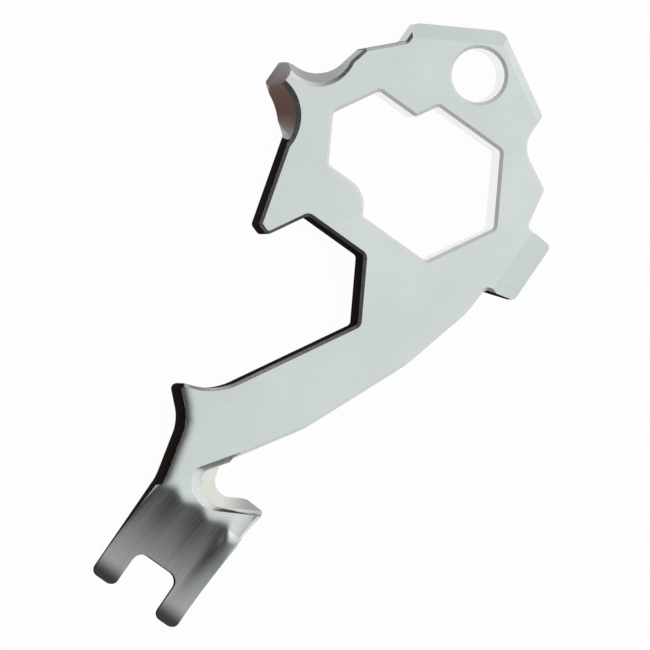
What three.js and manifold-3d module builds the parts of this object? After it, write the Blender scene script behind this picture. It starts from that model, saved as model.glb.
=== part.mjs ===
// One-piece keychain multi-tool, cut and ground from flat stainless bar.
// Millimetres, +Z out of the front face. The tool is drawn with its long axis
// along Y, fork at -Y and ring hole at +Y, from the centre of the large hex socket.
import * as THREE from 'three';
import { mergeVertices } from 'three/addons/utils/BufferGeometryUtils.js';
import Module from 'manifold-3d';

// Bar stock
const BAR_THICKNESS = 4.76;
const EDGE_BREAK = 0.35;
const CORNER_EASE = 0.25;

// Sockets for standard nuts, measured across the flats
const SOCKET_CLEARANCE = 0.15;
const LARGE_NUT_FLATS = 14.29;
const SMALL_NUT_FLATS = 9.53;
const OPEN_NUT_FLATS = 12.7;
const SMALL_SOCKET_OFFSET = 7.6;
const OPEN_SOCKET_OFFSET = 5.4;
const OPEN_SOCKET_WALL = 3.4;
const SOCKET_TOOTH_RADIUS = 3;

// Ring end: a roof of two sloping edges over the ring hole
const RING_HOLE_DIAMETER = 5.85;
const RING_HOLE_OFFSET = 2.5;
const RING_HOLE_WALL = 2.35;
const ROOF_WALL = 1.92;
const ROOF_APEX_OFFSET = 0.35;
const ROOF_PITCH = 30;
const ROOF_APEX_RADIUS = 1.4;
const ROOF_LEFT_REACH = 8.25;
const ROOF_RIGHT_REACH = 8.7;
const ROOF_LEFT_EAVE = 2.4;
const ROOF_RIGHT_EAVE = 3.95;
const ROOF_LEFT_BEVEL = 1.6;
const ROOF_RIGHT_BEVEL = 0.9;
const ROOF_BEVEL_SLOPE = 32;
const THUMB_DIP_RADIUS = 3;

// Wide flat driver on the right of the large socket
const TAB_WALL = 3;
const TAB_WIDTH = 7.1;
const TAB_CENTRE_DOWN = 1.35;
const TAB_REACH = 3.55;
const TAB_FLARE = 1.05;
const TAB_GRIND_LENGTH = 2.9;
const TAB_TIP_THICKNESS = 1.6;
const SHOULDER_STEP = 0.8;
const SHOULDER_RISE = 4.45;

// Narrow driver and bottle claw on the left of the small socket
const DRIVER_REACH = 7.4;
const DRIVER_TIP_UP = 0.3;
const DRIVER_TIP_WIDTH = 2.6;
const DRIVER_TIP_SLANT = 13;
const DRIVER_UPPER_WALL = 2;
const DRIVER_UPPER_UP = 4.1;
const DRIVER_UPPER_RADIUS = 3;
const LEFT_SHOULDER_WALL = 1.1;
const LEFT_SHOULDER_UP = 7.7;
const DRIVER_LOWER_WALL = 2.5;
const DRIVER_LOWER_DOWN = 4.65;
const CLAW_LENGTH = 5;
const CLAW_TIP_WIDTH = 1.4;
const CLAW_TIP_RAKE = 0.45;

// Hollow grinds that thin the narrow driver towards the front face
const GRIND_TILT = 17.4;
const GRIND_EDGE_DEPTH = 3;
const UPPER_GRIND_RADIUS = 3.86;
const UPPER_GRIND_BACK = 2;
const UPPER_BLADE_HALF = 0.74;
const LOWER_GRIND_RADIUS = 4.88;
const LOWER_GRIND_BACK = 0.27;
const LOWER_BLADE_HALF = 0.96;

// Neck and spur, from the right corner of the open socket
const NECK_WIDTH = 6.85;
const NECK_BEND_DROP = 0.55;
const NECK_SHOULDER_STEP = 0.2;
const NECK_SHOULDER_DROP = 3.25;
const NECK_FOOT_WIDTH = 10.2;
const NECK_FOOT_RISE = 2.35;
const NECK_RADIUS = 10;
const SPUR_ROOT_LENGTH = 17.1;
const SPUR_ROOT_RADIUS = 7;
const SPUR_REACH = 4.2;
const SPUR_FALL = 1.5;
const SPUR_HEEL_BACK = 3.15;
const SPUR_HEEL_FALL = 2.95;
const SPUR_HEEL_RADIUS = 5;

// Pry hook, from the root of the spur; it leans from the back face to the front
const HOOK_LIP_IN = 5.25;
const HOOK_LIP_FALL = 5.35;
const HOOK_LIP_RADIUS = 1.2;
const HOOK_LIP_LEAN_ACROSS = 1.9;
const HOOK_LIP_LEAN_DOWN = 3;
const HOOK_FLOOR_IN = 1.5;
const HOOK_FLOOR_FALL = 3.1;
const HOOK_FLOOR_LEAN_ACROSS = 1.1;
const HOOK_FLOOR_LEAN_DOWN = 2.4;
const HOOK_BACK_RADIUS = 2;
const HOOK_FRONT_RADIUS = 3;
const HOOK_RELIEF = 0.8;
const HOOK_EASE_WIDTH = 0.8;
const HOOK_EASE_DEPTH = 0.5;
const HEEL_REACH = 5;
const HEEL_RISE = 0.8;

// Forked pry blade, from the root of the spur
const FORK_WIDTH = 11;
const FORK_CENTRE_IN = 5.95;
const FORK_SHOULDER_FALL = 10.75;
const FORK_LENGTH = 12.4;
const FORK_TIP_RADIUS = 0.8;
const FORK_SLOT_WIDTH = 5.4;
const FORK_SLOT_OFFSET = 0.1;
const FORK_SLOT_DEPTH = 4.8;
const FORK_SLOT_RADIUS = 1.2;
const FORK_TIP_THICKNESS = 1.15;
const SCOOP_SETBACK = 0.6;
const SCOOP_LOW_POINT = 1.2;

// Facets of round work, and how far cutters pass through
const ARC_STEPS = 4;
const GRIND_SIDES = 72;
const SCOOP_SIDES = 160;
const OVERCUT = 3;

// The most of an edge that the arcs at its two ends may take
const ARC_SHARE = 0.98;

const grindTilt = THREE.MathUtils.degToRad(GRIND_TILT);

const wasm = await Module();
wasm.setup();

/** Turns a closed three.js geometry into a solid that can be joined or cut. */
function solid(geometry) {
  const bare = geometry.index ? geometry.toNonIndexed() : geometry.clone();
  bare.deleteAttribute('normal');
  bare.deleteAttribute('uv');
  const merged = mergeVertices(bare, 1e-5);
  const mesh = new wasm.Mesh({
    numProp: 3,
    vertProperties: new Float32Array(merged.attributes.position.array),
    triVerts: new Uint32Array(merged.index.array),
  });
  return new wasm.Manifold(mesh);
}

/** Turns a finished solid back into a three.js geometry. */
function geometryOf(body) {
  const mesh = body.getMesh();
  const geometry = new THREE.BufferGeometry();
  geometry.setAttribute('position', new THREE.BufferAttribute(mesh.vertProperties, 3));
  geometry.setIndex(new THREE.BufferAttribute(mesh.triVerts, 1));
  return geometry;
}

/** A point at a distance across and up from another. */
function from(base, across, up) {
  return new THREE.Vector2(base.x + across, base.y + up);
}

/** A corner of an outline: its sharp point and the radius that rounds it. */
function corner(point, radius = EDGE_BREAK + CORNER_EASE) {
  return { point, radius };
}

/** The length that a corner's arc takes from each of its two edges. */
function tangentLength(before, here, after) {
  const inward = before.point.clone().sub(here.point);
  const outward = after.point.clone().sub(here.point);
  const halfAngle = Math.acos(THREE.MathUtils.clamp(
    inward.dot(outward) / (inward.length() * outward.length()), -1, 1)) / 2;
  return { halfAngle, length: here.radius / Math.tan(halfAngle) };
}

/** Joins corners with straight edges and tangent arcs. Arcs that share an edge share its length. */
function rounded(path, corners) {
  const count = corners.length;
  const at = (i) => corners[(i + count) % count];
  const tangents = corners.map((here, i) => tangentLength(at(i - 1), here, at(i + 1)));
  const room = corners.map((here, i) => {
    const edge = at(i + 1).point.distanceTo(here.point);
    return Math.min(1, ARC_SHARE * edge / (tangents[i].length + tangents[(i + 1) % count].length));
  });
  corners.forEach((here, i) => {
    const share = Math.min(room[i], room[(i + count - 1) % count]);
    const { halfAngle, length } = tangents[i];
    const cut = share * length;
    const radius = cut * Math.tan(halfAngle);
    const towards = at(i - 1).point.clone().sub(here.point).normalize();
    const away = at(i + 1).point.clone().sub(here.point).normalize();
    const start = here.point.clone().addScaledVector(towards, cut);
    const end = here.point.clone().addScaledVector(away, cut);
    const middle = towards.clone().add(away).normalize();
    const centre = here.point.clone().addScaledVector(middle, radius / Math.sin(halfAngle));
    const startAngle = start.clone().sub(centre).angle();
    const endAngle = end.clone().sub(centre).angle();
    const clockwise = towards.cross(away) > 0;
    path.absarc(centre.x, centre.y, radius, startAngle, endAngle, clockwise);
  });
  path.closePath();
  return path;
}

/** Half the distance between two opposite corners of a hexagon, from its width across the flats. */
function cornerReach(flats) {
  return flats / Math.sqrt(3);
}

/** A flat bar of the given outline, with its edges broken front and back. */
function bar(outline) {
  const geometry = new THREE.ExtrudeGeometry(outline, {
    depth: BAR_THICKNESS - 2 * EDGE_BREAK,
    curveSegments: ARC_STEPS,
    bevelEnabled: true,
    bevelThickness: EDGE_BREAK,
    bevelSize: EDGE_BREAK,
    bevelOffset: -EDGE_BREAK,
    bevelSegments: 1,
  });
  return solid(geometry.translate(0, 0, EDGE_BREAK));
}

/** A solid that runs straight from a closed outline at one height to a like outline at another. */
function loft(lower, lowerZ, upper, upperZ) {
  const count = lower.length;
  const points = [
    ...lower.map((p) => [p.x, p.y, lowerZ]),
    ...upper.map((p) => [p.x, p.y, upperZ]),
  ];
  const faces = [];
  for (let i = 0; i < count; i += 1) {
    const next = (i + 1) % count;
    faces.push(i, next, count + next, i, count + next, count + i);
  }
  THREE.ShapeUtils.triangulateShape(lower, []).forEach(([a, b, c]) => faces.push(a, c, b));
  THREE.ShapeUtils.triangulateShape(upper, []).forEach(([a, b, c]) => {
    faces.push(count + a, count + b, count + c);
  });
  const geometry = new THREE.BufferGeometry();
  geometry.setAttribute('position', new THREE.Float32BufferAttribute(points.flat(), 3));
  geometry.setIndex(faces);
  return solid(geometry);
}

/** A round cutter through the bar, whose axis leans outwards towards the back face. */
function leaningCutter(radius, centre, outward) {
  const length = 4 * BAR_THICKNESS;
  const slope = Math.tan(grindTilt);
  const axis = new THREE.Vector3(-outward.x * slope, -outward.y * slope, 1).normalize();
  const geometry = new THREE.CylinderGeometry(radius, radius, length, GRIND_SIDES);
  const turn = new THREE.Quaternion().setFromUnitVectors(new THREE.Vector3(0, 1, 0), axis);
  geometry.applyQuaternion(turn);
  return solid(geometry.translate(centre.x, centre.y, BAR_THICKNESS));
}

/** A cone that breaks the front edge of a leaning cut, as long across as the lean makes the cut. */
function edgeCone(radius, centre, outward) {
  const below = GRIND_EDGE_DEPTH * EDGE_BREAK;
  const wide = radius + EDGE_BREAK + OVERCUT;
  const narrow = radius + EDGE_BREAK - below;
  const geometry = new THREE.CylinderGeometry(wide, narrow, OVERCUT + below, GRIND_SIDES);
  geometry.rotateX(Math.PI / 2);
  geometry.scale(1 / Math.cos(grindTilt), 1, 1);
  geometry.rotateZ(outward.angle());
  return solid(geometry.translate(centre.x, centre.y, BAR_THICKNESS + (OVERCUT - below) / 2));
}

/** A hollow grind through the bar, with its front edge broken. */
function hollowGrind(radius, centre, direction) {
  const outward = direction.clone().normalize();
  return [leaningCutter(radius, centre, outward), edgeCone(radius, centre, outward)];
}

/** A flat grind along an outer edge, from a line on the face down to the edge. */
function flatGrind(edge, outwardAngle, width, slope, length, onBack = false) {
  const size = BAR_THICKNESS * 2 + width * 2;
  const geometry = new THREE.BoxGeometry(length, 2 * size, size);
  geometry.translate(0, 0, size / 2);
  geometry.rotateX(-slope);
  geometry.translate(0, -width, BAR_THICKNESS);
  if (onBack) {
    geometry.rotateY(Math.PI);
    geometry.translate(0, 0, BAR_THICKNESS);
  }
  geometry.rotateZ(outwardAngle - Math.PI / 2);
  return solid(geometry.translate(edge.x, edge.y, 0));
}

// Sockets, with the large one at the origin
const largeFlats = LARGE_NUT_FLATS + SOCKET_CLEARANCE;
const smallFlats = SMALL_NUT_FLATS + SOCKET_CLEARANCE;
const openFlats = OPEN_NUT_FLATS + SOCKET_CLEARANCE;
const largeReach = cornerReach(largeFlats);
const smallReach = cornerReach(smallFlats);
const openReach = cornerReach(openFlats);
const hexSlope = new THREE.Vector2(-0.5, -Math.sqrt(3) / 2);
const largeCentre = new THREE.Vector2(0, 0);
const smallCentre = from(largeCentre, -SMALL_SOCKET_OFFSET, 0);
const openCentre = from(
  largeCentre, -OPEN_SOCKET_OFFSET, -(largeFlats + openFlats) / 2 - OPEN_SOCKET_WALL);
const smallLeft = from(smallCentre, -smallReach, 0);
const openTopLeft = from(openCentre, -openReach / 2, openFlats / 2);
const openTopRight = from(openCentre, openReach / 2, openFlats / 2);
const openRight = from(openCentre, openReach, 0);

// Ring end
const roofPitch = THREE.MathUtils.degToRad(ROOF_PITCH);
const ringRadius = RING_HOLE_DIAMETER / 2;
const ringCentre = from(largeCentre, -RING_HOLE_OFFSET, largeFlats / 2 + RING_HOLE_WALL + ringRadius);
const roofApex = from(ringCentre, -ROOF_APEX_OFFSET, (ringRadius + ROOF_WALL) / Math.cos(roofPitch));
const roofLeft = from(roofApex, -ROOF_LEFT_REACH, -ROOF_LEFT_REACH * Math.tan(roofPitch));
const roofRight = from(roofApex, ROOF_RIGHT_REACH, -ROOF_RIGHT_REACH * Math.tan(roofPitch));

// Wide driver
const tabCentre = from(largeCentre, largeReach + TAB_WALL, -TAB_CENTRE_DOWN);
const tabRootTop = from(tabCentre, 0, TAB_WIDTH / 2);
const tabRootBottom = from(tabCentre, 0, -TAB_WIDTH / 2 - TAB_FLARE);
const tabTip = from(tabCentre, TAB_REACH, 0);

// Narrow driver and claw
const driverTip = from(smallLeft, -DRIVER_REACH, DRIVER_TIP_UP);
const driverUpper = from(smallLeft, -DRIVER_UPPER_WALL, DRIVER_UPPER_UP);
const driverLower = from(smallLeft, -DRIVER_LOWER_WALL, -DRIVER_LOWER_DOWN);
const clawHeel = openTopLeft.clone().addScaledVector(hexSlope, CLAW_LENGTH);

// Neck, spur, hook and fork
const spurRoot = openRight.clone().addScaledVector(hexSlope, SPUR_ROOT_LENGTH);
const spurTip = from(spurRoot, -SPUR_REACH, -SPUR_FALL);
const neckFoot = from(spurRoot, NECK_FOOT_WIDTH, NECK_FOOT_RISE);
const hookLip = from(spurRoot, HOOK_LIP_IN, -HOOK_LIP_FALL);
const hookFloor = from(hookLip, HOOK_FLOOR_IN, -HOOK_FLOOR_FALL);
const heel = from(hookFloor, HEEL_REACH, HEEL_RISE);
const forkShoulder = from(spurRoot, FORK_CENTRE_IN, -FORK_SHOULDER_FALL);
const forkTip = from(forkShoulder, 0, -FORK_LENGTH);
const slotRoot = from(forkTip, FORK_SLOT_OFFSET, FORK_SLOT_DEPTH);

/** The outline of the blank, anticlockwise from the roof over the ring hole. */
function blankOutline() {
  const halfFork = FORK_WIDTH / 2;
  const halfSlot = FORK_SLOT_WIDTH / 2;
  return rounded(new THREE.Shape(), [
    corner(roofApex, ROOF_APEX_RADIUS),
    corner(roofLeft),
    corner(from(roofLeft, 0, -ROOF_LEFT_EAVE)),
    corner(from(smallLeft, -LEFT_SHOULDER_WALL, LEFT_SHOULDER_UP)),
    corner(driverUpper, DRIVER_UPPER_RADIUS),
    corner(from(driverTip, 0, DRIVER_TIP_WIDTH / 2)),
    corner(from(driverTip, 0, -DRIVER_TIP_WIDTH / 2)),
    corner(driverLower),
    corner(from(clawHeel, -CLAW_TIP_WIDTH, CLAW_TIP_RAKE)),
    corner(clawHeel),
    corner(openTopLeft),
    corner(openTopRight),
    corner(openRight),
    corner(spurRoot, SPUR_ROOT_RADIUS),
    corner(spurTip),
    corner(from(spurTip, SPUR_HEEL_BACK, -SPUR_HEEL_FALL), SPUR_HEEL_RADIUS),
    corner(from(forkShoulder, -halfFork, 0), SPUR_HEEL_RADIUS),
    corner(from(forkTip, -halfFork, 0), FORK_TIP_RADIUS),
    corner(new THREE.Vector2(slotRoot.x - halfSlot, forkTip.y), FORK_TIP_RADIUS),
    corner(from(slotRoot, -halfSlot, 0), FORK_SLOT_RADIUS),
    corner(from(slotRoot, halfSlot, 0), FORK_SLOT_RADIUS),
    corner(new THREE.Vector2(slotRoot.x + halfSlot, forkTip.y), FORK_TIP_RADIUS),
    corner(from(forkTip, halfFork, 0), FORK_TIP_RADIUS),
    corner(from(forkShoulder, halfFork, 0)),
    corner(heel),
    corner(hookLip),
    corner(neckFoot, NECK_RADIUS),
    corner(from(openRight, NECK_WIDTH, -NECK_BEND_DROP), NECK_RADIUS),
    corner(from(tabRootBottom, -NECK_SHOULDER_STEP, -NECK_SHOULDER_DROP), NECK_RADIUS),
    corner(tabRootBottom),
    corner(from(tabTip, 0, -TAB_WIDTH / 2)),
    corner(from(tabTip, 0, TAB_WIDTH / 2)),
    corner(tabRootTop),
    corner(from(tabRootTop, -SHOULDER_STEP, SHOULDER_RISE)),
    corner(from(roofRight, 0, -ROOF_RIGHT_EAVE), THUMB_DIP_RADIUS),
    corner(roofRight),
  ]);
}

/** The two closed sockets as one opening: the hexagons overlap, and their lower tooth is eased. */
function socketOpening() {
  const halfLarge = largeFlats / 2;
  const halfSmall = smallFlats / 2;
  const toothAcross = -largeReach + halfSmall / Math.sqrt(3);
  return rounded(new THREE.Path(), [
    corner(from(largeCentre, largeReach, 0)),
    corner(from(largeCentre, largeReach / 2, -halfLarge)),
    corner(from(largeCentre, -largeReach / 2, -halfLarge)),
    corner(from(largeCentre, toothAcross, -halfSmall), SOCKET_TOOTH_RADIUS),
    corner(from(smallCentre, -smallReach / 2, -halfSmall)),
    corner(smallLeft),
    corner(from(smallCentre, -smallReach / 2, halfSmall)),
    corner(from(largeCentre, toothAcross, halfSmall)),
    corner(from(largeCentre, -largeReach / 2, halfLarge)),
    corner(from(largeCentre, largeReach / 2, halfLarge)),
  ]);
}

/** The round opening for a key ring, drawn as four quarter turns. */
function ringOpening() {
  const opening = new THREE.Path();
  for (let quarter = 0; quarter < 4; quarter += 1) {
    const start = -quarter * Math.PI / 2;
    opening.absarc(ringCentre.x, ringCentre.y, ringRadius, start, start - Math.PI / 2, true);
  }
  return opening;
}

/** The pry hook's outline at one level, widened a little: 0 is the back face and 1 is the front. */
function hookOutline(level, wider = 0) {
  const lip = from(
    hookLip, -level * HOOK_LIP_LEAN_ACROSS - wider, -level * HOOK_LIP_LEAN_DOWN);
  const floor = from(
    hookFloor, -level * HOOK_FLOOR_LEAN_ACROSS - wider, -level * HOOK_FLOOR_LEAN_DOWN - wider);
  const floorRadius = THREE.MathUtils.lerp(HOOK_BACK_RADIUS, HOOK_FRONT_RADIUS, level);
  const outline = rounded(new THREE.Shape(), [
    corner(lip, HOOK_LIP_RADIUS),
    corner(floor, floorRadius),
    corner(from(heel, OVERCUT, HEEL_RISE)),
    corner(new THREE.Vector2(heel.x + OVERCUT, neckFoot.y)),
    corner(from(neckFoot, HOOK_RELIEF - wider, 0)),
  ]);
  const points = outline.getPoints(ARC_STEPS);
  points.pop();
  return points;
}

/** The cutters for the pry hook, which pass through both faces and ease its front edge. */
function hookCutters() {
  const past = OVERCUT / BAR_THICKNESS;
  const ease = HOOK_EASE_DEPTH / BAR_THICKNESS;
  const easeStart = BAR_THICKNESS - HOOK_EASE_DEPTH;
  const easeEnd = BAR_THICKNESS + HOOK_EASE_DEPTH;
  return [
    loft(hookOutline(-past), -OVERCUT, hookOutline(1 + past), BAR_THICKNESS + OVERCUT),
    loft(hookOutline(1 - ease), easeStart, hookOutline(1 + ease, 2 * HOOK_EASE_WIDTH), easeEnd),
  ];
}

/** The wheel that hollows the front of the fork, tangent to the blade near its tips. */
function scoopWheel() {
  const lowest = from(forkTip, 0, SCOOP_LOW_POINT);
  const run = forkShoulder.y - SCOOP_SETBACK - lowest.y;
  const drop = BAR_THICKNESS - FORK_TIP_THICKNESS;
  const radius = (run * run + drop * drop) / (2 * drop);
  const wheel = new THREE.CylinderGeometry(radius, radius, FORK_WIDTH + 2 * OVERCUT, SCOOP_SIDES);
  wheel.rotateZ(Math.PI / 2);
  return solid(wheel.translate(lowest.x, lowest.y, FORK_TIP_THICKNESS + radius));
}

/** The two hollow grinds and the slanted end of the narrow driver. */
function driverGrinds() {
  const slant = THREE.MathUtils.degToRad(DRIVER_TIP_SLANT);
  const lowerFlank = driverLower.clone().sub(from(driverTip, 0, -DRIVER_TIP_WIDTH / 2));
  const upper = from(driverTip, UPPER_GRIND_BACK, UPPER_BLADE_HALF + UPPER_GRIND_RADIUS);
  const lower = from(driverTip, LOWER_GRIND_BACK, -LOWER_BLADE_HALF - LOWER_GRIND_RADIUS);
  return [
    ...hollowGrind(UPPER_GRIND_RADIUS, upper, new THREE.Vector2(0, 1)),
    ...hollowGrind(LOWER_GRIND_RADIUS, lower, new THREE.Vector2(lowerFlank.y, -lowerFlank.x)),
    flatGrind(driverTip, Math.PI, BAR_THICKNESS * Math.tan(slant), Math.PI / 2 - slant,
      DRIVER_TIP_WIDTH + 2 * OVERCUT),
  ];
}

/** The grinds on both faces of the wide driver, which leave its tip at the middle of the bar. */
function tabGrinds() {
  const drop = (BAR_THICKNESS - TAB_TIP_THICKNESS) / 2;
  const slope = Math.atan2(drop, TAB_GRIND_LENGTH);
  const length = TAB_WIDTH + 2 * OVERCUT;
  return [false, true].map((onBack) => flatGrind(
    tabTip, 0, TAB_GRIND_LENGTH, slope, length, onBack));
}

/** The bevels along the two sloping edges over the ring hole. */
function roofBevels() {
  const slope = THREE.MathUtils.degToRad(ROOF_BEVEL_SLOPE);
  const length = 2 * (ROOF_LEFT_REACH + ROOF_RIGHT_REACH);
  return [
    flatGrind(roofApex, Math.PI / 2 + roofPitch, ROOF_LEFT_BEVEL, slope, length),
    flatGrind(roofApex, Math.PI / 2 - roofPitch, ROOF_RIGHT_BEVEL, slope, length),
  ];
}

const blank = blankOutline();
blank.holes.push(socketOpening(), ringOpening());
const cutters = [...hookCutters(), scoopWheel(), ...driverGrinds(), ...tabGrinds(), ...roofBevels()];
const body = cutters.reduce((left, cutter) => left.subtract(cutter), bar(blank));

// The part stands on the middle of its back face
const geometry = geometryOf(body);
geometry.computeBoundingBox();
const middle = geometry.boundingBox.getCenter(new THREE.Vector3());
geometry.translate(-middle.x, -middle.y, -geometry.boundingBox.min.z);

const steel = new THREE.MeshStandardMaterial({ color: 0xc9d0d0, roughness: 0.38, metalness: 1 });
const tool = new THREE.Mesh(geometry, steel);
tool.name = 'tool_body';

const part = new THREE.Group();
part.add(tool);

export default part;
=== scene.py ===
import logging
import math
from dataclasses import dataclass
from enum import Enum

import bmesh
import bpy
import numpy as np
from mathutils import Matrix, Vector


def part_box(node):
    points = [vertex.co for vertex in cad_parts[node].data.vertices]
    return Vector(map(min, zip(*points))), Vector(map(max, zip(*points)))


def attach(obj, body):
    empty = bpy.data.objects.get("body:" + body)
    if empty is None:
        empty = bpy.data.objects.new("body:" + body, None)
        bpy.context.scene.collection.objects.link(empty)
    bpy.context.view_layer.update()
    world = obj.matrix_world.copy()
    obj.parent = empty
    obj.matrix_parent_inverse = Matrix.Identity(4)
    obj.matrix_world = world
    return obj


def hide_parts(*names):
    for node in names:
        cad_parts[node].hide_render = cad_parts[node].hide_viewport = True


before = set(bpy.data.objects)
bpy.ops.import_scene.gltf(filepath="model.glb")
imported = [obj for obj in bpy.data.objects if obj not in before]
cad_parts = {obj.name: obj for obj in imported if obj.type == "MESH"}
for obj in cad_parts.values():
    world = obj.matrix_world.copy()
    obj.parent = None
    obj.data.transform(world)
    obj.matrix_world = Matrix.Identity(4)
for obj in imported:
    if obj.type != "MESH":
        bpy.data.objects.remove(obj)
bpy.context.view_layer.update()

LOG = logging.getLogger("keychain_tool")
MM = 0.001
BAR_THICKNESS = 4.76  # In millimetres.
TOOL_NODE = "tool_body"
ZONE_LAYER = "zone"
STORED_NORMALS = "custom_normal"
CUT_TOLERANCE = 1e-8


class Zone(Enum):
    """The surfaces of the tool that get different materials, some for how the steel was finished and
    some for the light or shade painted on them.
    """

    FACE = 0
    EDGE = 1
    WALL = 2
    BORE = 3
    RIM = 4
    BLADE = 5
    FLANK = 6
    HOOK = 7
    BEVEL = 8


class MaskName(Enum):
    """Point attributes that the finishes and the grind marks read."""

    FRONT = "front"
    BLADE = "blade"
    DROP = "drop"
    TINT = "tint"
    ENTRY = "entry"


def smoothstep(low: float, high: float, value: np.ndarray) -> np.ndarray:
    """Eases from 0 at low to 1 at high.

    Args:
        low: Value at which the result leaves 0.
        high: Value at which the result reaches 1.
        value: Values to ease.

    Returns:
        The eased values, from 0 to 1.
    """
    t = np.clip((value - low) / (high - low), 0.0, 1.0)
    return t * t * (3.0 - 2.0 * t)


def distance_to_path(points: np.ndarray, path: list[tuple[float, float]]) -> np.ndarray:
    """Measures how far points lie from a path of straight runs.

    Args:
        points: Points in the plane, one per row.
        path: Corners of the path in order.

    Returns:
        The distance of each point from the nearest run.
    """
    best = np.full(len(points), np.inf)
    for start, end in zip(path[:-1], path[1:]):
        a = np.array(start)
        run = np.array(end) - a
        share = np.clip(((points - a) @ run) / (run @ run), 0.0, 1.0)
        best = np.minimum(best, np.linalg.norm(points - a - share[:, None] * run, axis=1))
    return best


class NodeSheet:
    """A node tree with short calls for adding and joining nodes."""

    def __init__(self, tree: bpy.types.NodeTree) -> None:
        """Keeps the tree and empties it."""
        self.tree = tree
        tree.nodes.clear()

    def add(self, kind: str, **settings: object) -> bpy.types.Node:
        """Adds a node.

        Args:
            kind: Blender's name for the node type.
            settings: Properties to set on the node.

        Returns:
            The new node.
        """
        node = self.tree.nodes.new(kind)
        for name, value in settings.items():
            setattr(node, name, value)
        return node

    def join(self, source: bpy.types.NodeSocket, target: bpy.types.NodeSocket) -> None:
        """Links an output to an input."""
        self.tree.links.new(source, target)

    def math(self, operation: str, first: object, second: object = None) -> bpy.types.NodeSocket:
        """Adds a math node.

        Args:
            operation: Blender's name for the operation.
            first: First operand, a socket or a number.
            second: Second operand, a socket or a number, if the operation has one.

        Returns:
            The node's output.
        """
        node = self.add("ShaderNodeMath", operation=operation)
        for socket, value in zip(node.inputs, (first, second)):
            if isinstance(value, bpy.types.NodeSocket):
                self.join(value, socket)
            elif value is not None:
                socket.default_value = value
        return node.outputs[0]


# Several finishes below carry painted light: their colours are lit or shaded copies of the one steel,
# noted at each.
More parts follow.
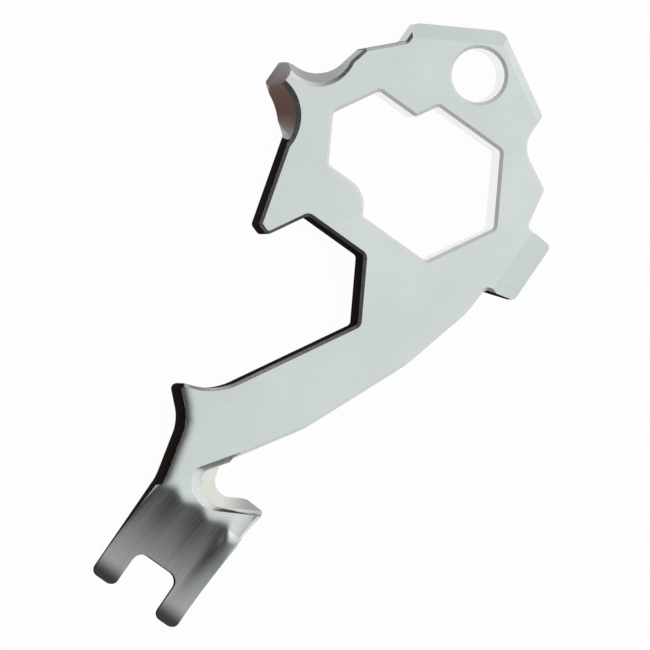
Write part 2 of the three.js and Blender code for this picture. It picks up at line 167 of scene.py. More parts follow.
@dataclass(frozen=True)
class SteelFinish:
    """One finish of the steel: its colour, its gloss and the marks of the tool that made it.

    Sizes are in millimetres and turns in degrees. A painted front shade darkens a wall towards the front
    face, shade painted into the colour.
    The painted shade and the entry are the colours that the masks of those names bring in: painted shade
    and painted dark reflection for the first, the lighter colour of steel that the wheel barely touched
    for the second.
    """

    name: str
    colour: tuple[float, float, float]
    dark: tuple[float, float, float]
    roughness: float
    grain_turn: float
    grain_scale: tuple[float, float, float]
    grain_contrast: float
    roughness_swing: float
    bump: float
    metallic: float = 1.0
    specular: float = 0.5
    painted_front_shade: float = 0.0
    tint: tuple[float, float, float] | None = None
    entry: tuple[float, float, float] | None = None
    grain_share: float = 0.65
    grain_detail: float = 5.0
    grain_roughness: float = 0.6
    cloud_scale: float = 0.14
    cloud_detail: float = 3.0
    bump_depth: float = 0.02

    def build(self) -> bpy.types.Material:
        """Makes the material.

        Returns:
            A material whose grain follows the object's own coordinates.
        """
        material = bpy.data.materials.new(self.name)
        material.use_nodes = True
        sheet = NodeSheet(material.node_tree)
        output = sheet.add("ShaderNodeOutputMaterial")
        shader = sheet.add("ShaderNodeBsdfPrincipled")
        shader.inputs["Metallic"].default_value = self.metallic
        shader.inputs["Specular IOR Level"].default_value = self.specular
        sheet.join(shader.outputs[0], output.inputs[0])
        grain = self._grain(sheet)
        cloud = self._cloud(sheet)
        sheet.join(self._colour(sheet, grain, cloud), shader.inputs["Base Color"])
        swing = sheet.math("MULTIPLY", sheet.math("SUBTRACT", grain, 0.5), self.roughness_swing)
        sheet.join(sheet.math("ADD", swing, self.roughness), shader.inputs["Roughness"])
        bump = sheet.add("ShaderNodeBump")
        bump.inputs["Strength"].default_value = self.bump
        bump.inputs["Distance"].default_value = self.bump_depth * MM
        sheet.join(grain, bump.inputs["Height"])
        sheet.join(bump.outputs[0], shader.inputs["Normal"])
        return material

    def _grain(self, sheet: NodeSheet) -> bpy.types.NodeSocket:
        """Adds the fine lines of brushing or grinding.

        Args:
            sheet: The material's nodes.

        Returns:
            The grain, from 0 to 1.
        """
        place = sheet.add("ShaderNodeTexCoord")
        mapping = sheet.add("ShaderNodeMapping", vector_type="TEXTURE")
        mapping.inputs["Rotation"].default_value = (0.0, 0.0, math.radians(self.grain_turn))
        mapping.inputs["Scale"].default_value = tuple(MM * size for size in self.grain_scale)
        noise = sheet.add("ShaderNodeTexNoise")
        noise.inputs["Scale"].default_value = 1.0
        noise.inputs["Detail"].default_value = self.grain_detail
        noise.inputs["Roughness"].default_value = self.grain_roughness
        sheet.join(place.outputs["Object"], mapping.inputs["Vector"])
        sheet.join(mapping.outputs[0], noise.inputs["Vector"])
        return noise.outputs["Fac"]

    def _cloud(self, sheet: NodeSheet) -> bpy.types.NodeSocket:
        """Adds the broad unevenness of handled steel.

        Args:
            sheet: The material's nodes.

        Returns:
            The unevenness, from 0 to 1.
        """
        place = sheet.add("ShaderNodeTexCoord")
        noise = sheet.add("ShaderNodeTexNoise")
        noise.inputs["Scale"].default_value = self.cloud_scale / MM
        noise.inputs["Detail"].default_value = self.cloud_detail
        sheet.join(place.outputs["Object"], noise.inputs["Vector"])
        return noise.outputs["Fac"]

    def _colour(
        self, sheet: NodeSheet, grain: bpy.types.NodeSocket, cloud: bpy.types.NodeSocket
    ) -> bpy.types.NodeSocket:
        """Mixes the finish's colours by its marks and masks.

        Args:
            sheet: The material's nodes.
            grain: The fine lines.
            cloud: The broad unevenness.

        Returns:
            The surface colour.
        """
        fine = sheet.math("MULTIPLY", grain, self.grain_share)
        broad = sheet.math("MULTIPLY", cloud, 1.0 - self.grain_share)
        mixed = sheet.math("ADD", fine, broad)
        spread = sheet.math("MULTIPLY", sheet.math("SUBTRACT", mixed, 0.5), self.grain_contrast)
        level = sheet.math("ADD", spread, 0.5)
        colour = self._blend(sheet, level, self.dark, self.colour)
        # Painted shade: the colour darkens towards the front face, standing in for the dark line along
        # the front edge.
        if self.painted_front_shade > 0.0:
            place = sheet.add("ShaderNodeTexCoord")
            axes = sheet.add("ShaderNodeSeparateXYZ")
            sheet.join(place.outputs["Object"], axes.inputs[0])
            depth = sheet.math("DIVIDE", axes.outputs["Z"], BAR_THICKNESS * MM)
            front_shade_share = sheet.math("MULTIPLY", sheet.math("POWER", depth, 2.0), self.painted_front_shade)
            colour = self._blend(sheet, front_shade_share, colour, self.dark)
        # The painted shade mask lays painted shade and painted dark reflections over the colour; the
        # entry mask brings in the lighter colour where the wheel barely touched the face and along the
        # fork's right margin.
        for mask, shade in ((MaskName.TINT, self.tint), (MaskName.ENTRY, self.entry)):
            if shade is not None:
                part = sheet.add("ShaderNodeAttribute", attribute_name=mask.value)
                colour = self._blend(sheet, part.outputs["Fac"], colour, shade)
        return colour

    @staticmethod
    def _blend(
        sheet: NodeSheet, share: bpy.types.NodeSocket, first: object, second: object
    ) -> bpy.types.NodeSocket:
        """Blends two colours.

        Args:
            sheet: The material's nodes.
            share: How much of the second colour shows.
            first: A colour or a socket that gives one.
            second: A colour or a socket that gives one.

        Returns:
            The blended colour.
        """
        mix = sheet.add("ShaderNodeMix", data_type="RGBA", clamp_factor=True)
        sheet.join(share, mix.inputs["Factor"])
        for socket, colour in zip((mix.inputs[6], mix.inputs[7]), (first, second)):
            if isinstance(colour, bpy.types.NodeSocket):
                sheet.join(colour, socket)
            else:
                socket.default_value = (*colour, 1.0)
        return mix.outputs[2]


FINISHES: dict[Zone, SteelFinish] = {
    Zone.FACE: SteelFinish(
        name="satin_face", colour=(0.64, 0.695, 0.675), dark=(0.52, 0.57, 0.555), roughness=0.36,
        grain_turn=35.0, grain_scale=(6.0, 0.12, 0.3), grain_contrast=2.6, roughness_swing=0.2,
        bump=0.15),
    # Painted highlight: the broken edges take a lighter colour than the face's steel so that they show
    # bright.
    Zone.EDGE: SteelFinish(
        name="broken_edge_painted_highlight", colour=(0.78, 0.81, 0.8), dark=(0.6, 0.63, 0.62), roughness=0.24,
        grain_turn=0.0, grain_scale=(0.6, 0.6, 0.6), grain_contrast=1.5, roughness_swing=0.12,
        bump=0.1),
    # Painted reflection: the cut walls are matt dark brown without gloss, standing in for the dark
    # surroundings that steel walls would reflect.
    Zone.WALL: SteelFinish(
        name="cut_wall_painted_reflection", colour=(0.085, 0.061, 0.052), dark=(0.011, 0.008, 0.007), roughness=0.5,
        metallic=0.0, specular=0.0, grain_turn=0.0, grain_scale=(0.07, 0.07, 0.5),
        grain_contrast=1.1, roughness_swing=0.2, bump=0.3, painted_front_shade=0.8),
    # Partly painted reflection: the bores reflect the pale floor for real, and their colour is raised
    # near white, above the face's steel, so they show white.
    Zone.BORE: SteelFinish(
        name="broached_wall_painted_bright", colour=(0.95, 0.96, 0.955), dark=(0.84, 0.85, 0.845), roughness=0.3,
        grain_turn=0.0, grain_scale=(0.2, 0.2, 5.0), grain_contrast=1.4, roughness_swing=0.14,
        bump=0.12),
    # Painted highlight: the socket rims are matt near-white instead of steel, standing in for a bright
    # reflection.
    Zone.RIM: SteelFinish(
        name="socket_rim_painted_highlight", colour=(0.95, 0.96, 0.95), dark=(0.84, 0.85, 0.85), roughness=0.6,
        metallic=0.0, specular=0.2, grain_turn=0.0, grain_scale=(0.5, 0.5, 0.5),
        grain_contrast=1.4, roughness_swing=0.14, bump=0.1),
    # Painted shade: the painted shade mask darkens the fork's ends nearly to black.
    Zone.BLADE: SteelFinish(
        name="hollow_ground_blade", colour=(0.5, 0.51, 0.505), dark=(0.28, 0.285, 0.285),
        roughness=0.42, grain_turn=0.0, grain_scale=(0.16, 7.0, 7.0), grain_contrast=2.0,
        roughness_swing=0.2, bump=0.25, tint=(0.05, 0.046, 0.043),
        entry=(0.58, 0.63, 0.61)),
    # Painted dark reflection: the driver's ground sides are far darker than the face's steel, and the
    # painted shade mask lays a brown patch on them, standing in for dark brown surroundings they
    # reflect.
    Zone.FLANK: SteelFinish(
        name="ground_flank_painted_reflection", colour=(0.22, 0.225, 0.23), dark=(0.13, 0.13, 0.13), roughness=0.27,
        grain_turn=35.0, grain_scale=(4.0, 0.14, 0.3), grain_contrast=1.5, roughness_swing=0.16,
        bump=0.12, tint=(0.07, 0.025, 0.014)),
    # Painted reflection: the hook's wall is a light warm beige standing in for what it reflects, and the
    # painted shade mask darkens it near the barb.
    Zone.HOOK: SteelFinish(
        name="hook_wall_painted_reflection", colour=(0.84, 0.85, 0.79), dark=(0.66, 0.66, 0.6), roughness=0.34,
        grain_turn=0.0, grain_scale=(0.3, 0.3, 3.0), grain_contrast=1.6, roughness_swing=0.16,
        bump=0.15, tint=(0.3, 0.31, 0.29)),
    Zone.BEVEL: SteelFinish(
        name="ground_bevel", colour=(0.8, 0.87, 0.84), dark=(0.64, 0.7, 0.68), roughness=0.4,
        grain_turn=60.0, grain_scale=(3.0, 0.16, 0.3), grain_contrast=1.9, roughness_swing=0.18,
        bump=0.15),
}


@dataclass
class HollowGrind:
    """The wheel-ground hollow of the fork, shaped by a geometry node tree. Sizes in metres."""

    face_height: float
    wheel_radius: float
    wheel_x: float
    wheel_y: float
    wheel_low: float
    margin_x: float
    margin_slope: float = 1.3 * MM
    margin_rise: float = 1.05 * MM
    entry_softness: float = 0.75 * MM
    lobe_depth: float = 0.4 * MM
    lobe_pitch: float = 3.35 * MM
    ridge_depth: float = 0.05 * MM
    ridge_pitch: float = 0.6 * MM
    ridge_length: float = 9.0 * MM
    seed: float = 11.0

    def inputs(self) -> dict[str, float]:
        """Gives the tree's sizes by name.

        Returns:
            The value of each named input.
        """
        return {
            "Face Height": self.face_height,
            "Wheel Radius": self.wheel_radius,
            "Wheel X": self.wheel_x,
            "Wheel Y": self.wheel_y,
            "Wheel Low": self.wheel_low,
            "Margin X": self.margin_x,
            "Margin Slope": self.margin_slope,
            "Margin Rise": self.margin_rise,
            "Entry Softness": self.entry_softness,
            "Lobe Depth": self.lobe_depth,
            "Lobe Pitch": self.lobe_pitch,
            "Ridge Depth": self.ridge_depth,
            "Ridge Pitch": self.ridge_pitch,
            "Ridge Length": self.ridge_length,
            "Seed": self.seed,
        }

    def height(self, y: np.ndarray) -> np.ndarray:
        """Gives the plain front surface, without marks.

        Args:
            y: Places along the fork.

        Returns:
            The height of the face or of the hollow, whichever is lower.
        """
        return np.minimum(self.face_height, self.wheel_low + self._rise(y))

    def depth(self, x: np.ndarray, y: np.ndarray) -> np.ndarray:
        """Works out how deep the wheel has cut into the face.

        Args:
            x: Places across the fork.
            y: Places along the fork.

        Returns:
            The depth of the lobed hollow, below 0 where the wheel has not touched the face.
        """
        rise = self._rise(y)
        wave = np.cos((x - self.wheel_x) / self.lobe_pitch * 2.0 * math.pi)
        margin = self.margin_rise * smoothstep(self.margin_x, self.margin_x + self.margin_slope, x)
        reach = rise / self.face_height
        marks = margin * reach - wave * self.lobe_depth * reach**2
        return self.face_height - (self.wheel_low + rise + marks)

    def _rise(self, y: np.ndarray) -> np.ndarray:
        """Gives the wheel's height over its lowest point."""
        away = np.clip(np.abs(y - self.wheel_y), 0.0, self.wheel_radius)
        return self.wheel_radius - np.sqrt(self.wheel_radius**2 - away**2)

    def apply(self, mesh: bpy.types.Mesh, materials: dict[Zone, bpy.types.Material]) -> bpy.types.Mesh:
        """Shapes the hollow and lays the materials on their zones.

        Args:
            mesh: The tool's surface, with its masks and zones.
            materials: The finish of each zone.

        Returns:
            A plain mesh with the marks in its shape.
        """
        carrier = bpy.data.objects.new("grind_carrier", mesh)
        bpy.context.scene.collection.objects.link(carrier)
        tree = self._tree(materials)
        modifier = carrier.modifiers.new("hollow_grind", "NODES")
        modifier.node_group = tree
        sizes = self.inputs()
        for item in tree.interface.items_tree:
            if item.in_out == "INPUT" and item.name in sizes:
                modifier[item.identifier] = sizes[item.name]
        depsgraph = bpy.context.evaluated_depsgraph_get()
        finished = bpy.data.meshes.new_from_object(carrier.evaluated_get(depsgraph))
        carrier.modifiers.clear()
        bpy.data.objects.remove(carrier)
        return finished

    def _tree(self, materials: dict[Zone, bpy.types.Material]) -> bpy.types.NodeTree:
        """Builds the node tree.

        Args:
            materials: The finish of each zone.

        Returns:
            The tree, with its sizes as named inputs.
        """
        tree = bpy.data.node_groups.new("hollow_grind", "GeometryNodeTree")
        sheet = NodeSheet(tree)
        tree.interface.new_socket("Geometry", in_out="INPUT", socket_type="NodeSocketGeometry")
        for name in self.inputs():
            tree.interface.new_socket(name, in_out="INPUT", socket_type="NodeSocketFloat")
        tree.interface.new_socket("Geometry", in_out="OUTPUT", socket_type="NodeSocketGeometry")
        start = sheet.add("NodeGroupInput")
        end = sheet.add("NodeGroupOutput")
        place = sheet.add("GeometryNodeInputPosition")
        axes = sheet.add("ShaderNodeSeparateXYZ")
        sheet.join(place.outputs[0], axes.inputs[0])
        ground = sheet.math("ADD", self._hollow(sheet, start, axes), self._ridges(sheet, start, axes))
        shift = sheet.math("SUBTRACT", ground, axes.outputs["Z"])
        shift = sheet.math("MULTIPLY", shift, self._mask(sheet, MaskName.FRONT))
        shift = sheet.math("SUBTRACT", shift, self._mask(sheet, MaskName.DROP))
        offset = sheet.add("ShaderNodeCombineXYZ")
        sheet.join(shift, offset.inputs["Z"])
        moved = sheet.add("GeometryNodeSetPosition")
        sheet.join(start.outputs["Geometry"], moved.inputs["Geometry"])
        sheet.join(offset.outputs[0], moved.inputs["Offset"])
        real = sheet.add("GeometryNodeRealizeInstances")
        sheet.join(moved.outputs[0], real.inputs[0])
        sheet.join(self._dress(sheet, real.outputs[0], materials), end.inputs[0])
        return tree

    @staticmethod
    def _mask(sheet: NodeSheet, name: MaskName) -> bpy.types.NodeSocket:
        """Reads a point attribute.

        Args:
            sheet: The tree's nodes.
            name: Which mask to read.

        Returns:
            The mask's value.
        """
        mask = sheet.add("GeometryNodeInputNamedAttribute", data_type="FLOAT")
        mask.inputs["Name"].default_value = name.value
        return mask.outputs["Attribute"]

    @staticmethod
    def _hollow(
        sheet: NodeSheet, start: bpy.types.Node, axes: bpy.types.Node
    ) -> bpy.types.NodeSocket:
        """Adds the wheel's hollow, with the lobes that side-by-side passes leave where it enters.

        Args:
            sheet: The tree's nodes.
            start: The tree's inputs.
            axes: The position's parts.

        Returns:
            The height of the front surface.
        """
        radius = start.outputs["Wheel Radius"]
        away = sheet.math("SUBTRACT", axes.outputs["Y"], start.outputs["Wheel Y"])
        away = sheet.math("MINIMUM", sheet.math("ABSOLUTE", away), radius)
        inner = sheet.math("SUBTRACT", sheet.math("POWER", radius, 2.0), sheet.math("POWER", away, 2.0))
        rise = sheet.math("SUBTRACT", radius, sheet.math("SQRT", inner))
        across = sheet.math("SUBTRACT", axes.outputs["X"], start.outputs["Wheel X"])
        turns = sheet.math("DIVIDE", across, start.outputs["Lobe Pitch"])
        wave = sheet.math("COSINE", sheet.math("MULTIPLY", turns, 2.0 * math.pi))
        lobes = sheet.math("MULTIPLY", wave, start.outputs["Lobe Depth"])
        slope = sheet.add("ShaderNodeMapRange", interpolation_type="SMOOTHSTEP")
        far = sheet.math("ADD", start.outputs["Margin X"], start.outputs["Margin Slope"])
        sheet.join(axes.outputs["X"], slope.inputs["Value"])
        sheet.join(start.outputs["Margin X"], slope.inputs["From Min"])
        sheet.join(far, slope.inputs["From Max"])
        margin = sheet.math("MULTIPLY", slope.outputs[0], start.outputs["Margin Rise"])
        reach = sheet.math("DIVIDE", rise, start.outputs["Face Height"])
        margin = sheet.math("MULTIPLY", margin, reach)
        lobes = sheet.math("MULTIPLY", lobes, sheet.math("POWER", reach, 2.0))
        marks = sheet.math("SUBTRACT", margin, lobes)
        bottom = sheet.math("ADD", start.outputs["Wheel Low"], rise)
        bottom = sheet.math("ADD", bottom, marks)
        soft = sheet.add("ShaderNodeMath", operation="SMOOTH_MIN")
        sheet.join(start.outputs["Face Height"], soft.inputs[0])
        sheet.join(bottom, soft.inputs[1])
        sheet.join(start.outputs["Entry Softness"], soft.inputs[2])
        return soft.outputs[0]

    def _ridges(
        self, sheet: NodeSheet, start: bpy.types.Node, axes: bpy.types.Node
    ) -> bpy.types.NodeSocket:
        """Adds fine uneven ridges along the fork.

        Args:
            sheet: The tree's nodes.
            start: The tree's inputs.
            axes: The position's parts.

        Returns:
            The ridges' height.
        """
        noise = sheet.add("ShaderNodeTexNoise", noise_dimensions="2D")
        noise.inputs["Scale"].default_value = 1.0
        noise.inputs["Detail"].default_value = 2.0
        spot = sheet.add("ShaderNodeCombineXYZ")
        across = sheet.math("DIVIDE", axes.outputs["X"], start.outputs["Ridge Pitch"])
        along = sheet.math("DIVIDE", axes.outputs["Y"], start.outputs["Ridge Length"])
        sheet.join(sheet.math("ADD", across, start.outputs["Seed"]), spot.inputs["X"])
        sheet.join(along, spot.inputs["Y"])
        sheet.join(spot.outputs[0], noise.inputs["Vector"])
        swing = sheet.math("SUBTRACT", noise.outputs[0], 0.5)
        depth = sheet.math("MULTIPLY", swing, start.outputs["Ridge Depth"])
        return sheet.math("MULTIPLY", depth, self._mask(sheet, MaskName.BLADE))

    @staticmethod
    def _dress(
        sheet: NodeSheet, geometry: bpy.types.NodeSocket, materials: dict[Zone, bpy.types.Material]
    ) -> bpy.types.NodeSocket:
        """Sets each zone's material.

        Args:
            sheet: The tree's nodes.
            geometry: The shaped surface.
            materials: The finish of each zone.

        Returns:
            The dressed surface.
        """
        zone = sheet.add("GeometryNodeInputNamedAttribute", data_type="INT")
        zone.inputs["Name"].default_value = ZONE_LAYER
        for kind, material in materials.items():
            chosen = sheet.add("FunctionNodeCompare", data_type="INT", operation="EQUAL")
            sheet.join(zone.outputs["Attribute"], chosen.inputs[2])
            chosen.inputs[3].default_value = kind.value
            layer = sheet.add("GeometryNodeSetMaterial")
            layer.inputs["Material"].default_value = material
            sheet.join(geometry, layer.inputs["Geometry"])
            sheet.join(chosen.outputs[0], layer.inputs["Selection"])
            geometry = layer.outputs[0]
        return geometry


@dataclass(frozen=True)
class SoftEdge:
    """A front edge that is rolled over: its path, how wide the roll is and how far it falls."""

    path: tuple[tuple[float, float], ...]
    width: float
    fall: float

    def drop(self, points: np.ndarray, thickness: float) -> np.ndarray:
        """Works out how far points sink.

        Args:
            points: Points in millimetres, one per row.
            thickness: Thickness of the bar, because points near the back sink less.

        Returns:
            The fall of each point in millimetres.
        """
        away = np.minimum(distance_to_path(points[:, :2], self.path), self.width)
        inside = (self.width - away) / self.width
        lift = np.clip(points[:, 2] / thickness, 0.0, 1.0) ** 2
        return self.fall * (1.0 - np.sqrt(1.0 - inside**2)) * lift


@dataclass
class ToolBody:
    """The one-piece tool. Its sizes are in millimetres from the centre of the large socket.

    An upness is the upright part of a face's normal. Each of the fades, shades, dark reflections and
    lights is a pair: the place where it starts and the place where it is full. The shades and the dark
    reflection are painted: they darken the colour where shade or a dark reflection would fall.
    """

    thickness: float = BAR_THICKNESS
    edge_break: float = 0.35
    edge_reach: float = 1.2
    roll_reach: float = 2.0
    tab_tip: float = 14.887
    tab_grind: float = 2.9
    fork_tip: float = -55.0
    lobe_middle: float = -1.2
    margin_left: float = 2.5
    fork_right: float = 4.4
    fork_tip_thickness: float = 1.15
    scoop_start: float = -43.2
    scoop_low: float = -53.8
    large_socket_radius: float = 9.2
    small_socket_x: float = -7.6
    small_socket_radius: float = 6.4
    ring_hole: tuple[float, float] = (-2.5, 12.5)
    ring_radius: float = 3.6
    roof_eave: float = 9.0
    eave_foot: float = 10.9
    driver_box: tuple[float, float, float] = (-14.4, -5.1, 7.6)
    hook_box: tuple[float, float, float, float] = (-4.6, 5.6, -44.0, -36.5)
    grid_top: float = -30.5
    grid_pitch: tuple[float, float] = (0.14, 0.25)
    grid_upness: float = 0.15
    weld_distance: float = 0.002
    flat_angle: float = 0.3
    sharp_angle: float = 24.0
    wall_upness: float = 0.5
    face_upness: float = 0.99
    hook_upness: float = 0.8
    blade_upness: float = 0.3
    bevel_upness: tuple[float, float] = (0.75, 0.95)
    roll_lean: float = 0.2
    outer_lean: float = 0.7
    front_tolerance: float = 0.012
    ridge_fade: tuple[float, float] = (0.3, 1.5)
    # Painted shade: where the shade at the fork's ends starts and where it is full.
    tip_shade: tuple[float, float] = (2.6, 0.5)
    entry_fade: tuple[float, float] = (0.5, 0.0)
    margin_light_left: tuple[float, float] = (3.0, 4.3)
    margin_light_low: tuple[float, float] = (-54.0, -46.0)
    # Painted dark reflection: where the brown patch on the driver's ground sides starts and where it is
    # full.
    flank_reflection_right: tuple[float, float] = (-14.2, -15.0)
    flank_reflection_top: tuple[float, float] = (0.6, -0.6)
    flank_reflection_low: tuple[float, float] = (-4.8, -3.0)
    # Painted shade: where the darkening of the hook's wall near the barb starts and where it is full.
    barb_shade_left: tuple[float, float] = (0.8, 4.0)
    barb_shade_low: tuple[float, float] = (-42.6, -42.0)
    barb_shade_top: tuple[float, float] = (-36.5, -37.5)
    soft_edges: tuple[SoftEdge, ...] = (
        SoftEdge(
            path=((-10.73, -33.35), (-8.68, -35.27), (-7.68, -36.5), (-7.23, -37.76), (-6.1, -42.6),
                  (-6.1, -55.0)),
            width=1.4, fall=1.1),
        SoftEdge(path=((5.0, -41.0), (4.93, -42.6), (4.93, -55.0)), width=2.4, fall=1.0),
    )

    def build(self) -> bpy.types.Object:
        """Makes the finished tool.

        Returns:
            The tool's object, at the origin.
        """
        grind = self._grind()
        surface = self._surface()
        self._mark_zones(surface, grind)
        self._mark_points(surface, grind)
        materials = {zone: finish.build() for zone, finish in FINISHES.items()}
        mesh = grind.apply(surface, materials)
        mesh.shade_smooth()
        mesh.set_sharp_from_angle(angle=math.radians(self.sharp_angle))
        tool = bpy.data.objects.new("keychain_tool", mesh)
        bpy.context.scene.collection.objects.link(tool)
        return tool

    def dress(self, tool: bpy.types.Object) -> None:
        """Puts the finished tool in the frame in place of the plain solid.

        Args:
            tool: The finished tool.
        """
        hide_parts(TOOL_NODE)
        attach(tool, "root")

    def _origin(self) -> np.ndarray:
        """Finds the centre of the large socket in the frame, in millimetres."""
        low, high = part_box(TOOL_NODE)
        return np.array([high.x / MM - self.tab_tip, low.y / MM - self.fork_tip, 0.0])

    def _grind(self) -> HollowGrind:
        """Sizes the wheel from the hollow's start, its lowest point and the thickness left there.

        Returns:
            The hollow, in the frame.
        """
        run = self.scoop_start - self.scoop_low
        drop = self.thickness - self.fork_tip_thickness
        centre = self._origin()
        return HollowGrind(
            face_height=self.thickness * MM,
            wheel_radius=(run**2 + drop**2) / (2.0 * drop) * MM,
            wheel_x=(centre[0] + self.lobe_middle) * MM,
            wheel_y=(centre[1] + self.scoop_low) * MM,
            wheel_low=self.fork_tip_thickness * MM,
            margin_x=(centre[0] + self.margin_left) * MM,
        )

    def _surface(self) -> bpy.types.Mesh:
        """Copies the solid, joins its triangles and lays a fine grid on the spur, hook and fork.

        Returns:
            The new mesh.
        """
        work = bmesh.new()
        work.from_mesh(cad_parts[TOOL_NODE].data)
        bmesh.ops.remove_doubles(work, verts=work.verts, dist=self.weld_distance * MM)
        flat = math.radians(self.flat_angle)
        bmesh.ops.dissolve_limit(work, angle_limit=flat, verts=work.verts, edges=work.edges)
        self._lay_grid(work)
        bmesh.ops.triangulate(work, faces=work.faces)
        mesh = bpy.data.meshes.new("tool_surface")
        work.to_mesh(mesh)
        work.free()
        stored = mesh.attributes.get(STORED_NORMALS)
        if stored is not None:
            mesh.attributes.remove(stored)
        return mesh

    def _lay_grid(self, work: bmesh.types.BMesh) -> None:
        """Cuts the front of the tool's lower end into small faces that can be shaped.

        Args:
            work: The tool's surface.
        """
        low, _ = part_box(TOOL_NODE)
        top = (self._origin()[1] + self.grid_top) * MM
        x_axis = Vector((1.0, 0.0, 0.0))
        y_axis = Vector((0.0, 1.0, 0.0))
        self._cut(work, work.verts[:] + work.edges[:] + work.faces[:], top, y_axis)
        faces = [
            face for face in work.faces
            if face.calc_center_median().y < top and face.normal.z > self.grid_upness
        ]
        edges = dict.fromkeys(edge for face in faces for edge in face.edges)
        verts = dict.fromkeys(vert for face in faces for vert in face.verts)
        geometry = list(verts) + list(edges) + faces
        across, along = (pitch * MM for pitch in self.grid_pitch)
        left = min(vert.co.x for vert in verts)
        right = max(vert.co.x for vert in verts)
        for x in np.arange(left + across, right, across):
            geometry = self._cut(work, geometry, x, x_axis)
        for y in np.arange(low.y + along, top, along):
            geometry = self._cut(work, geometry, y, y_axis)

    @staticmethod
    def _cut(work: bmesh.types.BMesh, geometry: list, place: float, axis: Vector) -> list:
        """Cuts faces along a plane square to an axis.

        Args:
            work: The surface that holds the faces.
            geometry: The points, edges and faces to cut.
            place: Where on the axis the plane stands.
            axis: The axis, of length 1.

        Returns:
            The points, edges and faces after the cut.
        """
        result = bmesh.ops.bisect_plane(
            work, geom=geometry, dist=CUT_TOLERANCE, plane_co=axis * place, plane_no=axis)
        return result["geom"]

    def _mark_zones(self, mesh: bpy.types.Mesh, grind: HollowGrind) -> None:
        """Writes the zone of each face.

        Args:
            mesh: The tool's surface.
            grind: The hollow that the fork gets.
        """
        count = len(mesh.polygons)
        centres = np.empty(count * 3, np.float32)
        normals = np.empty(count * 3, np.float32)
        mesh.polygons.foreach_get("center", centres)
        mesh.polygons.foreach_get("normal", normals)
        places = centres.reshape(-1, 3).astype(float)
        facing = normals.reshape(-1, 3).astype(float)
        at = places / MM - self._origin()
        zones = self._zones(at, facing)
        blade = grind.depth(places[:, 0], places[:, 1]) > 0.0
        blade &= np.isin(zones, (Zone.FACE.value, Zone.EDGE.value))
        blade &= at[:, 1] < self.grid_top
        blade &= facing[:, 2] > self.blade_upness
        zones[blade] = Zone.BLADE.value
        layer = mesh.attributes.new(ZONE_LAYER, "INT", "FACE")
        layer.data.foreach_set("value", zones.astype(np.int32))

    def _zones(self, at: np.ndarray, normal: np.ndarray) -> np.ndarray:
        """Sorts faces into zones.

        Args:
            at: Face centres, one per row.
            normal: Face normals, one per row.

        Returns:
            The zone number of each face.
        """
        x, y, z = at.T
        up = normal[:, 2]
        steep = np.abs(up) < self.wall_upness
        leaning = (up > self.wall_upness) & (up < self.face_upness)
        sunk = leaning & (z > self.thickness - self.edge_reach * self.edge_break)
        bores = np.hypot(x, y) < self.large_socket_radius
        bores |= np.hypot(x - self.small_socket_x, y) < self.small_socket_radius
        bores |= np.hypot(x - self.ring_hole[0], y - self.ring_hole[1]) < self.ring_radius
        right, low, high = self.driver_box
        driver = (x < right) & (y > low) & (y < high)
        hook_left, hook_right, hook_low, hook_high = self.hook_box
        hook = (x > hook_left) & (x < hook_right) & (y > hook_low) & (y < hook_high)
        tab = x > self.tab_tip - self.tab_grind
        zones = np.full(len(at), Zone.FACE.value)
        zones[sunk] = Zone.EDGE.value
        zones[steep] = Zone.WALL.value
        zones[sunk & bores] = Zone.RIM.value
        zones[steep & bores] = Zone.BORE.value
        zones[steep & driver] = Zone.FLANK.value
        zones[steep & ~bores & (y > self.eave_foot)] = Zone.FACE.value
        outer = (x > self.fork_right) & (normal[:, 0] > self.outer_lean)
        hook &= (np.abs(up) < self.hook_upness) & ~outer
        zones[hook & (z < self.thickness - self.edge_break)] = Zone.HOOK.value
        # The rolled edge's faces that lean left take the cut wall's painted dark reflection.
        rolled = distance_to_path(at[:, :2], self.soft_edges[0].path) < self.roll_reach * self.edge_break
        zones[rolled & (normal[:, 0] < -self.roll_lean)] = Zone.WALL.value
        least, most = self.bevel_upness
        ground = (up > least) & (up < most)
        zones[ground & (tab | (y > self.roof_eave))] = Zone.BEVEL.value
        return zones

    def _mark_points(self, mesh: bpy.types.Mesh, grind: HollowGrind) -> None:
        """Writes the masks of each point.

        Args:
            mesh: The tool's surface.
            grind: The hollow that the fork gets.
        """
        flat = np.empty(len(mesh.vertices) * 3, np.float32)
        mesh.vertices.foreach_get("co", flat)
        places = flat.reshape(-1, 3).astype(float)
        for name, values in self._masks(places, grind).items():
            mask = mesh.attributes.new(name.value, "FLOAT", "POINT")
            mask.data.foreach_set("value", values.astype(np.float32))

    def _masks(self, places: np.ndarray, grind: HollowGrind) -> dict[MaskName, np.ndarray]:
        """Works out the masks of points.

        Args:
            places: Points in the frame, one per row.
            grind: The hollow that the fork gets.

        Returns:
            The value of each mask at each point.
        """
        at = places / MM - self._origin()
        x, y, _ = at.T
        above = places[:, 2] - grind.height(places[:, 1])
        on_front = (np.abs(above) < self.front_tolerance * MM) & (y < self.grid_top)
        depth = grind.depth(places[:, 0], places[:, 1])
        entry = smoothstep(*self.entry_fade, depth / MM)
        margin = smoothstep(*self.margin_light_left, x) * smoothstep(*self.margin_light_low, y)
        blade = smoothstep(*self.ridge_fade, self.scoop_start - y)
        # Painted shade at the fork's ends.
        tip_painted_shade = smoothstep(*self.tip_shade, y - self.fork_tip)
        # Painted shade on the hook's wall near the barb.
        barb = smoothstep(*self.barb_shade_left, x)
        barb *= smoothstep(*self.barb_shade_low, y) * smoothstep(*self.barb_shade_top, y)
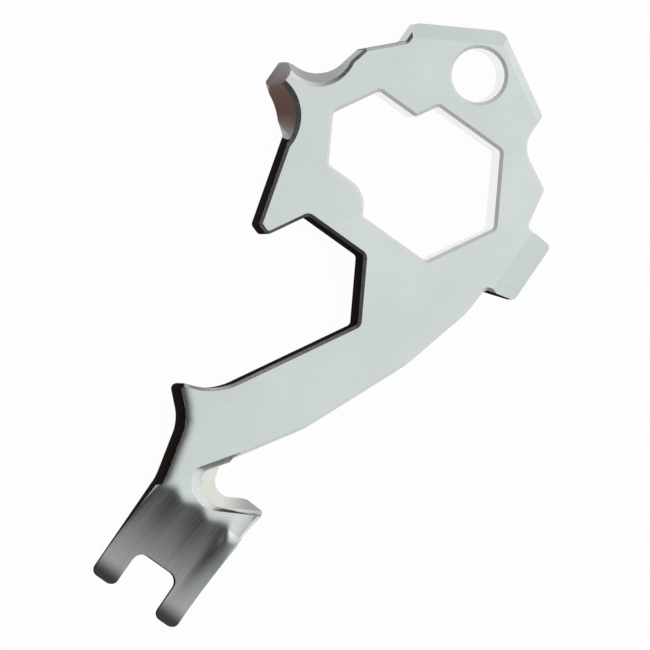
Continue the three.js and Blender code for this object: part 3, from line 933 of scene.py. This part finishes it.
        # Painted dark reflection: a brown patch on the driver's ground sides.
        flank_painted_reflection = smoothstep(*self.flank_reflection_right, x)
        flank_painted_reflection *= smoothstep(*self.flank_reflection_top, y) * smoothstep(*self.flank_reflection_low, y)
        drop = sum(edge.drop(at, self.thickness) for edge in self.soft_edges) * MM
        return {
            MaskName.FRONT: on_front.astype(float),
            MaskName.BLADE: blade,
            MaskName.DROP: drop,
            MaskName.TINT: np.clip(flank_painted_reflection + tip_painted_shade + barb, 0.0, 1.0),
            MaskName.ENTRY: np.maximum(entry, margin),
        }


@dataclass
class Studio:
    """Floor, light and camera.

    Distances are in metres, the aim and the sensor in millimetres and turns in degrees. A stop of the
    sky says how far it faces the light and how bright it is there.
    """

    image_pixels: float = 650.0
    pixels_per_mm: float = 9.33
    axis_turn: float = 35.0
    camera_tilt: float = 11.8
    camera_distance: float = 1.0
    aim: tuple[float, float, float] = (1.88, -0.63, BAR_THICKNESS)
    sensor: float = 36.0
    floor_size: float = 3.0
    floor_colour: tuple[float, float, float] = (0.9, 0.9, 0.9)
    floor_glow: float = 0.97
    light_right: float = 0.8
    light_up: float = 0.3
    lamp_size: float = 0.2
    lamp_right: float = 0.16
    lamp_height: float = 0.3
    lamp_power: float = 0.04
    sky: tuple[tuple[float, float], ...] = (
        (0.0, 0.05), (0.2, 0.16), (0.43, 0.45), (0.65, 0.85), (0.87, 1.0))

    def build(self) -> None:
        """Makes the whole setting."""
        scene = bpy.context.scene
        scene.view_settings.view_transform = "Standard"
        self._camera()
        self._floor()
        self._world()
        self._lamp()

    def _image_axes(self) -> tuple[Vector, Vector]:
        """Works out the directions of the image along the floor.

        Returns:
            The directions that run right and up in the image.
        """
        turn = math.radians(self.axis_turn)
        right = Vector((math.cos(turn), math.sin(turn), 0.0))
        up = Vector((-math.sin(turn), math.cos(turn), 0.0))
        return right, up

    def _camera(self) -> None:
        """Sets a long lens above the tool, a little to the left of its face."""
        right, up = self._image_axes()
        tilt = math.radians(self.camera_tilt)
        back = Vector((0.0, 0.0, math.cos(tilt))) - right * math.sin(tilt)
        across = up.cross(back)
        data = bpy.data.cameras.new("camera")
        data.sensor_width = self.sensor
        view_width = self.image_pixels / self.pixels_per_mm * MM
        data.lens = self.sensor * self.camera_distance / view_width
        camera = bpy.data.objects.new("camera", data)
        spot = Vector(self.aim) * MM + back * self.camera_distance
        turn = Matrix((across, up, back)).transposed().to_4x4()
        camera.matrix_world = Matrix.Translation(spot) @ turn
        bpy.context.scene.collection.objects.link(camera)
        bpy.context.scene.camera = camera

    def _floor(self) -> None:
        """Lays a pale floor that shows as white but keeps the tool's shadow."""
        half = self.floor_size / 2
        mesh = bpy.data.meshes.new("floor")
        corners = [(-half, -half, 0.0), (half, -half, 0.0), (half, half, 0.0), (-half, half, 0.0)]
        mesh.from_pydata(corners, [], [(0, 1, 2, 3)])
        mesh.materials.append(self._floor_finish())
        floor = bpy.data.objects.new("floor", mesh)
        bpy.context.scene.collection.objects.link(floor)

    def _floor_finish(self) -> bpy.types.Material:
        """Makes the floor's material.

        Returns:
            A pale matt material that glows to the camera.
        """
        material = bpy.data.materials.new("pale_floor")
        material.use_nodes = True
        sheet = NodeSheet(material.node_tree)
        output = sheet.add("ShaderNodeOutputMaterial")
        matt = sheet.add("ShaderNodeBsdfDiffuse")
        matt.inputs["Color"].default_value = (*self.floor_colour, 1.0)
        glow = sheet.add("ShaderNodeEmission")
        mix = sheet.add("ShaderNodeMixShader")
        seen = self._seen(sheet)
        sheet.join(sheet.math("MULTIPLY", seen, self.floor_glow), mix.inputs[0])
        sheet.join(matt.outputs[0], mix.inputs[1])
        sheet.join(glow.outputs[0], mix.inputs[2])
        sheet.join(mix.outputs[0], output.inputs[0])
        return material

    @staticmethod
    def _seen(sheet: NodeSheet) -> bpy.types.NodeSocket:
        """Finds the rays that show the floor, straight or in a gloss.

        Args:
            sheet: The floor's nodes.

        Returns:
            1 for rays from the camera, in mirrors and through glass, else 0.
        """
        path = sheet.add("ShaderNodeLightPath")
        first = sheet.math("MAXIMUM", path.outputs["Is Camera Ray"], path.outputs["Is Glossy Ray"])
        return sheet.math("MAXIMUM", first, path.outputs["Is Transmission Ray"])

    def _lamp(self) -> None:
        """Hangs a soft lamp on the right, which makes that side of the face a little lighter."""
        data = bpy.data.lights.new("soft_lamp", "AREA")
        data.shape = "SQUARE"
        data.size = self.lamp_size
        data.energy = self.lamp_power
        lamp = bpy.data.objects.new("soft_lamp", data)
        right, _ = self._image_axes()
        lamp.location = right * self.lamp_right + Vector((0.0, 0.0, self.lamp_height))
        bpy.context.scene.collection.objects.link(lamp)

    def _world(self) -> None:
        """Lights the tool from a broad soft sky above and to the right, dark on the left."""
        world = bpy.data.worlds.new("studio")
        bpy.context.scene.world = world
        world.use_nodes = True
        sheet = NodeSheet(world.node_tree)
        output = sheet.add("ShaderNodeOutputWorld")
        light = sheet.add("ShaderNodeBackground")
        sheet.join(self._sky_colour(sheet), light.inputs["Color"])
        white = sheet.add("ShaderNodeBackground")
        path = sheet.add("ShaderNodeLightPath")
        mix = sheet.add("ShaderNodeMixShader")
        sheet.join(path.outputs["Is Camera Ray"], mix.inputs[0])
        sheet.join(light.outputs[0], mix.inputs[1])
        sheet.join(white.outputs[0], mix.inputs[2])
        sheet.join(mix.outputs[0], output.inputs[0])

    def _sky_colour(self, sheet: NodeSheet) -> bpy.types.NodeSocket:
        """Grades the sky from its bright side to its dark side.

        Args:
            sheet: The world's nodes.

        Returns:
            The sky's colour.
        """
        right, up = self._image_axes()
        key = (right * self.light_right + up * self.light_up + Vector((0.0, 0.0, 1.0))).normalized()
        place = sheet.add("ShaderNodeTexCoord")
        facing = sheet.add("ShaderNodeVectorMath", operation="DOT_PRODUCT")
        facing.inputs[1].default_value = key
        sheet.join(place.outputs["Generated"], facing.inputs[0])
        ramp = sheet.add("ShaderNodeValToRGB")
        ramp.color_ramp.interpolation = "EASE"
        while len(ramp.color_ramp.elements) < len(self.sky):
            ramp.color_ramp.elements.new(0.5)
        for element, (spot, level) in zip(ramp.color_ramp.elements, self.sky):
            element.position = spot
            element.color = (level, level, level, 1.0)
        sheet.join(facing.outputs["Value"], ramp.inputs[0])
        return ramp.outputs[0]


def main() -> None:
    """Builds the setting and the tool."""
    logging.basicConfig(level=logging.INFO, format="%(message)s")
    Studio().build()
    body = ToolBody()
    tool = body.build()
    body.dress(tool)
    LOG.info("%s: %d faces", tool.name, len(tool.data.polygons))


if __name__ == "__main__":
    main()
